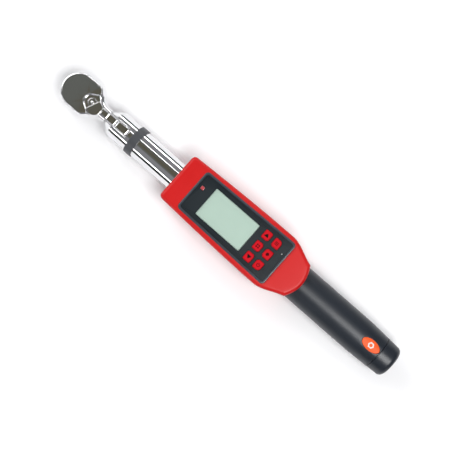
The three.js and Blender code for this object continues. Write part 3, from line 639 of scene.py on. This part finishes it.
def build_lever():
    low = NECK_TOP + GAP
    paddle = slab("reversing_paddle", lever_outline(), low, HEAD_TOP - 0.7, (0.3, 0.3), (0.4, 0.4))
    hub = slab("hub", arc(0, 0, 4.4, 0, 352.5, 47), low, low + 1.6, (0.2, 0.2), (0.6, 0.6))
    weld(paddle, hub)
    rivet = slab("rivet", arc(0, 0, 1.5, 0, 350, 35), low + 1, low + 2.0, (0, 0), (0.35, 0.35), 0.2)
    weld(paddle, rivet, rod("z", POST_RADIUS, -4.5, low + 1))
    place(paddle, HEAD_X + PAWL_X, 0, AXIS_Z, LEVER_ANGLE)
    dress(paddle, LOOKS["chrome"], "reverser", "chrome", "reversing_lever")


def build_underside():
    """The cover, its screws, and the drive with its square, the groove for its clip, and its ball."""
    low = HEAD_BOTTOM
    cover, *others = cover_tools(low, low + COVER_THICK, 0)
    weld(cover, *others)
    holes = [rod("z", BOSS_RADIUS + 0.4, -FAR, FAR, sides=96)]
    for side in (1, -1):
        holes.append(rod("z", SCREW_RECESS, -FAR, low + 1.1, COVER_SCREW[0], side * COVER_SCREW[1]))
        holes.append(rod("z", 1.3, -FAR, FAR, COVER_SCREW[0], side * COVER_SCREW[1]))
    carve(cover, *holes)
    soften(cover, 0.2)
    cover.name = "cover_plate"
    place(cover, HEAD_X, 0, AXIS_Z)
    dress(cover, LOOKS["steel"], "head", "steel", "head_cover")
    for i, side in enumerate((1, -1), 1):
        screw = slab("cover_screw", arc(0, 0, 1.9, 0, 350, 35), low + 0.1, low + 0.8, (0.3, 0.3), (0, 0))
        weld(screw, rod("z", 1, low + 0.5, -1.4))
        carve(screw, slab("hex", arc(0, 0, 0.95, 0, 300, 5), low - 1, low + 0.55))
        screw.name = f"cover_screw_head_{i}"
        place(screw, HEAD_X + COVER_SCREW[0], side * COVER_SCREW[1], AXIS_Z)
        dress(screw, LOOKS["steel"], "head", "steel", f"cover_screw_{i}")
    teeth = 36
    corners = []
    for tooth in range(teeth):
        for share, radius in ((0, 11), (0.4, 12.2), (0.6, 12.2)):
            angle = (tooth + share) * 2 * math.pi / teeth
            corners.append((radius * math.cos(angle), radius * math.sin(angle)))
    gear = slab("drive_body", corners, -5.1, 3.2)
    boss = slab("boss", arc(0, 0, BOSS_RADIUS, 0, 356.25, 95), BOSS_LOW, -4.6, (0.4, 0.4))
    square = slab("square", rectangle(SQUARE, SQUARE, 0.8), BOSS_LOW - 11, BOSS_LOW + 1, (0.7, 1.0))
    weld(gear, boss, square)
    groove = rod("z", 9, BOSS_LOW + 0.15, BOSS_LOW + 0.85, sides=96)
    carve(groove, rod("z", 7.2, -FAR, FAR, sides=96))
    carve(gear, rod("x", 1.75, -10, 2.5, 0, BOSS_LOW - 5.5), groove)
    soften(gear, 0.12)
    place(gear, HEAD_X, 0, AXIS_Z)
    dress(gear, LOOKS["steel"], "drive", "steel", "drive_gear")
    ball = bmesh.new()
    bmesh.ops.create_icosphere(ball, subdivisions=4, radius=1.6 * MM)
    mesh = bpy.data.meshes.new("detent_ball")
    ball.to_mesh(mesh)
    ball.free()
    detent = bpy.data.objects.new("detent_ball", mesh)
    bpy.context.scene.collection.objects.link(detent)
    centre = middle("drive_ball")
    place(detent, centre.x, centre.y, centre.z)
    dress(detent, LOOKS["chrome"], "detent_ball", "steel", "drive_ball")


# ---------------------------------------------------------------- tube

def build_tube():
    gap, width, depth = NOSE_GROOVE
    cone_end = TUBE_START + NOSE_LENGTH
    groove = cone_end + gap
    groove_end = groove + width
    profile = [(TUBE_START, 0), (TUBE_START, NOSE_RADIUS), (cone_end, TUBE_RADIUS), (groove, TUBE_RADIUS),
               (groove, TUBE_RADIUS - depth), (groove_end, TUBE_RADIUS - depth), (groove_end, TUBE_RADIUS),
               (TUBE_END, TUBE_RADIUS), (TUBE_END, TUBE_BORE), (BAND_START, TUBE_BORE), (BAND_START - 3, 0)]
    radii = [0, 0.7, 0.5, 0.15, 0.2, 0.2, 0.15, 0.5, 0.3, 0, 0]
    tube = turned("beam_sleeve", rounded(profile, radii, 5, closed=False), TUBE_SIDES)
    carve(tube, block(TUBE_START - 1, SLOT_END, -SLOT_HALF, SLOT_HALF, -FAR, FAR),
          rod("y", PIN_RADIUS + GAP, -FAR, FAR, PIN_X, AXIS_Z),
          rod("y", 2.3, -FAR, FAR, TUBE_END - 6, AXIS_Z))
    soften(tube, 0.4, 3)
    dress(tube, LOOKS["chrome"], "frame", "chrome", "beam_tube")

    inner = TUBE_RADIUS + 0.2
    ring = [(BAND_START, inner), (BAND_END, inner), (BAND_END, BAND_RADIUS), (BAND_START, BAND_RADIUS)]
    band = turned("knurled_band", rounded(ring, [0.1, 0.1, 0.45, 0.75], 6), TUBE_SIDES, closed=True)
    dress(band, LOOKS["band"], "frame", "band", "ring_band")

    half = PIN_HALF
    socket = 1.2  # radius of the hexagon in each end, and its depth
    outline = [(-half, 0), (-half, PIN_RADIUS), (half, PIN_RADIUS), (half, 0)]
    pin = turned("joint_pin", rounded(outline, [0, 0.5, 0.5, 0], 5, closed=False), SMALL)
    pin.data.transform(Matrix.Translation((0, 0, -AXIS_Z * MM)))
    pin.data.transform(Matrix.Rotation(math.pi / 2, 4, "Z"))
    place(pin, PIN_X, 0, AXIS_Z)
    hexes = ((-FAR, socket - half), (half - socket, FAR))
    carve(pin, *[rod("y", socket, low, high, PIN_X, AXIS_Z, 6) for low, high in hexes])
    dress(pin, LOOKS["steel"], "frame", "steel", "flex_pin")


# ---------------------------------------------------------------- housing

def housing_outline():
    start = HOUSING_FRONT + CORNER
    lip_control = (2 * HOUSING_REAR - LIP_X, 0)
    half = []
    for t in steps_between(0.5, 1, 16):
        x = (1 - t) ** 2 * LIP_X + 2 * t * (1 - t) * lip_control[0] + t * t * LIP_X
        half.append((x, (t * t - (1 - t) ** 2) * LIP_HALF))
    half += bezier((LIP_X, LIP_HALF), (TAPER_X + 17, REAR_HALF - 6.6), (TAPER_X + 10, REAR_HALF - 0.6),
                   (TAPER_X, REAR_HALF), 22)
    half += bezier((TAPER_X, REAR_HALF), (TAPER_X - 40, REAR_HALF), (start + 36, FRONT_HALF + 1.6),
                   (start, FRONT_HALF), 24)
    half += arc(start, FRONT_HALF - CORNER, CORNER, 90, 180, 12)[1:]
    return mirrored(half)


def bezel_outline(draw_in=0.0, radius=BEZEL_CORNER):
    front, rear = BEZEL_FRONT + draw_in, BEZEL_REAR - draw_in
    u, v = BEZEL_HALVES[0] - draw_in, BEZEL_HALVES[1] - draw_in
    return rounded([(front, -u), (rear, -v), (rear, v), (front, u)], radius, 10)


def hollow_tools():
    front, rear = HOUSING_FRONT + WALL, GRIP_START - 4
    u, v = FRONT_HALF - WALL, REAR_HALF - WALL - 1.6
    room = rounded([(front, -u), (rear, -v), (rear, v), (front, u)], 2)
    return [
        slab("room", room, WALL, HOUSING_TOP - WALL),
        rod("x", TUBE_RADIUS + GAP, HOUSING_FRONT - 1, front + 1, 0, AXIS_Z, ROUND),
        rod("x", GRIP_RADIUS + GAP, GRIP_STEP_X - 2 * GAP, HOUSING_REAR + 1, 0, AXIS_Z, ROUND),
        rod("x", GRIP_NECK + GAP, rear - 1, HOUSING_REAR, 0, AXIS_Z, ROUND),
    ]


def build_housing():
    outline = housing_outline()
    upper = slab("housing_cover", outline, PARTING_Z + GAP / 2, HOUSING_TOP, (0.25, 0.25), (EDGE, EDGE))
    opening = slab("opening", bezel_outline(BEZEL_RIM + 0.6), HOUSING_TOP - 10, HOUSING_TOP + 5)
    carve(upper, opening, *hollow_tools())
    soften(upper, 0.3)
    dress(upper, LOOKS["red_plastic"], "frame", "red_plastic", "upper_housing")

    lower = slab("housing_tray", outline, 0, PARTING_Z - GAP / 2, (EDGE, EDGE), (0.25, 0.25))
    carve(lower, *hollow_tools())
    weld(lower, *[rod("z", 3.4, WALL - 1, PARTING_Z - 1, x, y) for x, y in SCREWS])
    carve(lower, *[rod("z", WALL, -1, 5, x, y) for x, y in SCREWS],
          *[rod("z", 1.6, -1, FAR, x, y) for x, y in SCREWS])
    soften(lower, 0.3)
    dress(lower, LOOKS["red_plastic"], "frame", "red_plastic", "lower_housing")

    for i, (x, y) in enumerate(SCREWS, 1):
        screw = slab("screw", arc(0, 0, 2.3, 0, 350, 35), 3.2, 4.7, (0.5, 0.4))
        cross = [block(-1.5, 1.5, -0.3, 0.3, 2, 4.1), block(-0.3, 0.3, -1.5, 1.5, 2, 4.1)]
        carve(screw, *cross)
        screw.name = f"case_screw_{i}"
        place(screw, x, y)
        dress(screw, LOOKS["steel"], "frame", "steel", f"housing_screw_{i}")


# ---------------------------------------------------------------- display

def key_outline(column, row):
    """A key from above: the corners towards the middle of the pad are cut, and two outer ones are round."""
    u, v = KEY_SIZE[0] / 2, KEY_SIZE[1] / 2
    plain, cut, cut_corner, wide = 1.1, 1.5, 1.05, 3.4
    inner = -1 if column else 1
    points, radii = [], []
    for x, y in ((-1, -1), (1, -1), (1, 1), (-1, 1)):
        faces_in = x == inner and (row == 0 or y == -row)
        outermost = column == 1 and x == 1 and row != 0 and y == row
        if faces_in:
            along, across = (x * u, y * (v - cut)), (x * (u - cut), y * v)
            points += [along, across] if x * y > 0 else [across, along]
            radii += [cut_corner, cut_corner]
        else:
            points.append((x * u, y * v))
            radii.append(wide if outermost else plain)
    return rounded(points, radii, 6)


def triangle(up):
    return [(-2.3, -1.5 * up), (2.3, -1.5 * up), (0, 1.9 * up)][::up]


def ring_shape(radius, width, start, end, count=24):
    return arc(0, 0, radius, start, end, count) + arc(0, 0, radius - width, end, start, count)


KEY_SIGNS = {
    "button_up": ("ink", [triangle(1)]),
    "button_down": ("ink", [triangle(-1)]),
    "button_memory": ("faint_ink", [rectangle(3.6, 0.5, 0.1, y=d) for d in (-1.2, 0, 1.2)]),
    "button_mode": ("faint_ink", [rectangle(1.3, 1.3, 0.2, x, y) for x in (-1, 1) for y in (-1, 1)]),
    "button_units": ("faint_ink", [arc(0, 0, 1.7, 0, 270, 4)]),
    "button_power": ("faint_ink", [ring_shape(1.7, 0.5, 120, 420), rectangle(0.5, 1.8, 0.1, y=1.0)]),
}


def build_keys():
    for name, (column, row) in KEYS.items():
        body = name.replace("button", "key")
        centre = middle(name)
        low = span(name)[0].z
        key = slab(name + "_cap", key_outline(column, row), PANEL_LOW - 0.5, KEY_TOP - KEY_CROWN,
                   (0, 0), (0.9, 0.9), KEY_CROWN)
        foot = slab("foot", rectangle(9.4, 10.4, 1.2), low, PANEL_LOW - 0.4)
        weld(key, foot)
        place(key, centre.x, centre.y)
        dress(key, LOOKS["red_rubber"], body, "red_rubber", name)
        ink, shapes = KEY_SIGNS[name]
        for i, shape in enumerate(shapes):
            sign = slab(f"{name}_sign_{i}", shape, KEY_TOP - KEY_CROWN, KEY_TOP + SIGN_PROUD)
            place(sign, centre.x - 0.1, centre.y)
            dress(sign, LOOKS[ink], body, "panel")


def build_display():
    rim = slab("display_frame", bezel_outline(), HOUSING_TOP + GAP, BEZEL_TOP, (0, 0), (0.9, 0.6))
    drop = slab("drop", bezel_outline(BEZEL_RIM + 0.9), PANEL_LOW, HOUSING_TOP + GAP + 0.3)
    weld(rim, drop)
    pocket = flat_tool("pocket", bezel_outline(BEZEL_RIM + 0.4, 2.4), PANEL_TOP, BEZEL_TOP, 0.4, 0.5)
    window_low, window_high = span("lcd_window")
    window_size = window_high - window_low
    window_x = (window_low.x + window_high.x) / 2
    window = rectangle(window_size.x - 0.5, window_size.y - 0.5, 0.9, window_x)
    tools = [pocket, slab("window", window, 0, FAR)]
    for name, (column, row) in KEYS.items():
        centre = middle(name)
        hole = inset(key_outline(column, row), -GAP)
        tools.append(slab("hole", [(x + centre.x, y + centre.y) for x, y in hole], 0, FAR))
    lamp = middle("led_window")
    tools.append(slab("lamp", rectangle(3.7, 3.7, 0.7, lamp.x, lamp.y), 0, FAR))
    dot = middle("status_lamp")
    tools.append(rod("z", 0.65, 0, FAR, dot.x, dot.y))
    carve(rim, *tools)
    dress(rim, LOOKS["panel"], "frame", "panel", "display_bezel")
    # The raised rim's faces take the lighter rim colour, partly a painted highlight on the same moulding as
    # the panel.
    rim.data.materials.append(LOOKS["rim"])
    for face in rim.data.polygons:
        if face.center.z > (PANEL_TOP + 0.1) * MM:
            face.material_index = 1

    glass = slab("lcd_pane", rectangle(window_size.x - 1.1, window_size.y - 1.1, 0.7, window_x),
                 window_low.z, window_high.z, (0, 0), (0.35, 0.25))
    dress(glass, LOOKS["lcd_glass"], "frame", "lcd_glass", "lcd_window")

    lens_low, lens_high = span("led_window")
    lens = slab("led_lens", rectangle(3.2, 3.2, 0.6), lens_low.z, lens_high.z, (0, 0), (0.5, 0.3), 0.1)
    place(lens, lamp.x, lamp.y)
    dress(lens, LOOKS["red_lens"], "frame", "red_lens", "led_window")
    dot_low, dot_high = span("status_lamp")
    light = slab("status_light", arc(0, 0, 0.42, 0, 345, 23), dot_low.z, dot_high.z - 0.1,
                 (0, 0), (0.25, 0.2), 0.1)
    place(light, dot.x, dot.y)
    dress(light, LOOKS["white"], "frame", "white", "status_lamp")


# ---------------------------------------------------------------- grip

def grip_radius(x):
    """The grip's and the cap's radius, which tapers to the end."""
    share = max(0, (x - GRIP_TAPER_X) / (CAP_CORNER_X - GRIP_TAPER_X))
    return GRIP_RADIUS + (CAP_RADIUS - GRIP_RADIUS) * share


def badge_tool(grow, low, high):
    long, short = BADGE_HALVES
    oval = []
    for i in range(96):
        a = 2 * math.pi * i / 96
        oval.append((BADGE.x + (long + grow) * math.cos(a), (short + grow) * math.sin(a)))
    return slab("oval", oval, AXIS_Z + low, AXIS_Z + high)


def build_grip():
    profile = [(GRIP_START, GRIP_BORE), (GRIP_START, GRIP_NECK), (GRIP_STEP_X, GRIP_NECK),
               (GRIP_STEP_X, GRIP_RADIUS), (GRIP_TAPER_X, GRIP_RADIUS), (GRIP_END, grip_radius(GRIP_END)),
               (GRIP_END, SOCKET_RADIUS), (SOCKET_X, SOCKET_RADIUS), (SOCKET_X, GRIP_BORE)]
    radii = [0.2, 0.4, 0.1, 0.5, 60, 0.35, 0.2, 0.1, 0.1]
    grip = turned("grip_rubber", rounded(profile, radii, 8), ROUND, closed=True)
    carve(grip, badge_tool(GAP, BADGE_FLOOR - GAP, 30))
    soften(grip, 0.2)
    dress(grip, LOOKS["grip"], "frame", "grip", "grip_sleeve")


def build_badge():
    """The oval plate, and its sign a little proud of it, both cut to follow the grip."""
    before, after = BADGE.x - 20, BADGE.x + 20
    skin = [(before, 0), (before, grip_radius(before) + 0.3), (after, grip_radius(after) + 0.3), (after, 0)]
    badge = badge_tool(0, BADGE_FLOOR, 30)
    badge.name = "badge_plate"
    combine(badge, "INTERSECT", [turned("skin", skin, 256)])
    soften(badge, 0.25, 3)
    dress(badge, LOOKS["badge"], "frame", "badge", "grip_badge")

    sign = slab("badge_sign", arc(0, 0, 3.0, 0, 300, 5), AXIS_Z + BADGE_FLOOR, AXIS_Z + 30)
    carve(sign, rod("z", 1.55, 0, FAR))
    place(sign, BADGE.x, 0)
    proud = [(x, radius + 0.04 if radius else 0) for x, radius in skin]
    combine(sign, "INTERSECT", [turned("skin", proud, 256)])
    dress(sign, LOOKS["badge_print"], "frame", "badge")


def build_cap():
    """The end cap with its spigot, and the seal in the spigot's groove."""
    groove, groove_end, groove_floor = CAP_X - 4, CAP_X - 2, SPIGOT_RADIUS - 0.9
    rim = CAP_X + 0.2
    profile = [(SPIGOT_X, SPIGOT_BORE), (SPIGOT_X, SPIGOT_RADIUS), (groove, SPIGOT_RADIUS),
               (groove, groove_floor), (groove_end, groove_floor), (groove_end, SPIGOT_RADIUS),
               (rim, SPIGOT_RADIUS), (rim, grip_radius(CAP_X)), (CAP_CORNER_X - 0.8, CAP_RADIUS + 0.05)]
    for a in steps_between(0, math.pi / 2, 14)[1:]:
        x = CAP_CORNER_X + (CAP_END - CAP_CORNER_X) * math.sin(a)
        profile.append((x, CAP_RADIUS * math.cos(a) ** 0.35))
    profile[-1] = (CAP_END, 0)
    floor = span("contact_spring")[1].x + GAP
    profile += [(floor, 0), (floor, SPIGOT_BORE)]
    cap = turned("grip_cap", profile, ROUND, closed=True)
    dress(cap, LOOKS["grip"], "cap", "grip", "end_cap")

    ring = arc(CAP_X - 3, 13.7, 0.55, 0, 340, 17)
    seal = turned("seal_ring", ring, ROUND, closed=True)
    dress(seal, LOOKS["chip"], "cap", "chip", "cap_o_ring")


# ---------------------------------------------------------------- studio

def emitter(name, where, aim, size, power):
    """A soft rectangular light, in metres, facing the aim."""
    light = bpy.data.lights.new(name, "AREA")
    light.shape = "RECTANGLE"
    light.size, light.size_y = size
    light.energy = power
    lamp = bpy.data.objects.new(name, light)
    bpy.context.scene.collection.objects.link(lamp)
    lamp.location = where
    lamp.rotation_euler = (Vector(aim) - Vector(where)).to_track_quat("-Z", "Y").to_euler()


SKY = [  # the sine of the elevation and the colour there; below the horizon it is the first
    (0.0, (0.03, 0.03, 0.03)),
    (0.16, (0.04, 0.04, 0.045)),
    (0.5, (0.22, 0.22, 0.23)),
    (0.88, (0.24, 0.24, 0.25)),
    (0.93, (0.125, 0.130, 0.118)),
    (0.957, (0.125, 0.130, 0.118)),
    (0.963, (0.112, 0.104, 0.080)),
    (1.0, (0.11, 0.10, 0.075)),
]


def build_floor():
    plane = bmesh.new()
    bmesh.ops.create_grid(plane, x_segments=1, y_segments=1, size=3)
    mesh = bpy.data.meshes.new("floor")
    plane.to_mesh(mesh)
    plane.free()
    floor = bpy.data.objects.new("floor", mesh)
    floor.location = (0, 0, -0.0003)
    bpy.context.scene.collection.objects.link(floor)
    paper = finish("floor_paper", (0.86, 0.86, 0.87), 0.7, vary=0.01, patch=3, grain=400, depth=0.02)
    mesh.materials.append(paper)


def build_lights():
    """Long boxes for the stripes along the chrome, and large ones for the head's and the grip's sheen."""
    emitter("left_box", (-0.5, 0.90, 0.37), (-0.5, 0, 0.02), (1.2, 0.13), 2.8)
    emitter("line_box", (-0.5, 0.45, 0.90), (-0.5, 0, 0.02), (1.2, 0.035), 0.8)
    emitter("right_box", (-0.5, -0.80, 0.39), (-0.5, 0, 0.02), (1.2, 0.10), 2.0)
    emitter("head_box", (-1.5, 0.2, 1.2), (0, 0, 0), (1.2, 1.2), 17)
    emitter("grip_box", (0.50, -0.10, 1.2), (0.15, 0, 0), (0.65, 0.40), 13)


def build_sky():
    world = bpy.data.worlds.new("studio")
    bpy.context.scene.world = world
    world.use_nodes = True
    tree = world.node_tree
    background = tree.nodes["Background"]
    direction = tree.nodes.new("ShaderNodeTexCoord").outputs["Generated"]
    split = tree.nodes.new("ShaderNodeSeparateXYZ")
    tree.links.new(direction, split.inputs["Vector"])
    ramp = tree.nodes.new("ShaderNodeValToRGB")
    stops = ramp.color_ramp.elements
    first, *between, last = SKY
    for stop, (at, color) in zip(stops, (first, last)):
        stop.position = at
        stop.color = (*color, 1)
    for at, color in between:
        stops.new(at).color = (*color, 1)
    tree.links.new(split.outputs["Z"], ramp.inputs["Fac"])
    tree.links.new(ramp.outputs["Color"], background.inputs["Color"])
    background.inputs["Strength"].default_value = 1.0


def build_camera():
    """Stands over the tool, as the photograph was taken, turned so that the tool lies aslant."""
    where = Vector((0.0482, -0.031, 0.767))
    aim = Vector((0.0058, -0.00445, 0.021))
    roll = math.radians(41.2)
    back = (where - aim).normalized()
    level = Vector((math.cos(roll), math.sin(roll), 0))
    right = (level - back * level.dot(back)).normalized()
    up = back.cross(right)
    data = bpy.data.cameras.new("camera")
    data.sensor_width = 36
    data.lens = 65.4
    data.clip_start = 0.01
    camera = bpy.data.objects.new("camera", data)
    turned_to = Matrix((right, up, back)).transposed()
    camera.matrix_world = Matrix.Translation(where) @ turned_to.to_4x4()
    bpy.context.scene.collection.objects.link(camera)
    bpy.context.scene.camera = camera
    bpy.context.scene.view_settings.view_transform = "Standard"


paint_nodes()
build_head()
build_lever()
build_underside()
build_tube()
build_housing()
build_display()
build_keys()
build_grip()
build_badge()
build_cap()
build_floor()
build_lights()
build_sky()
build_camera()
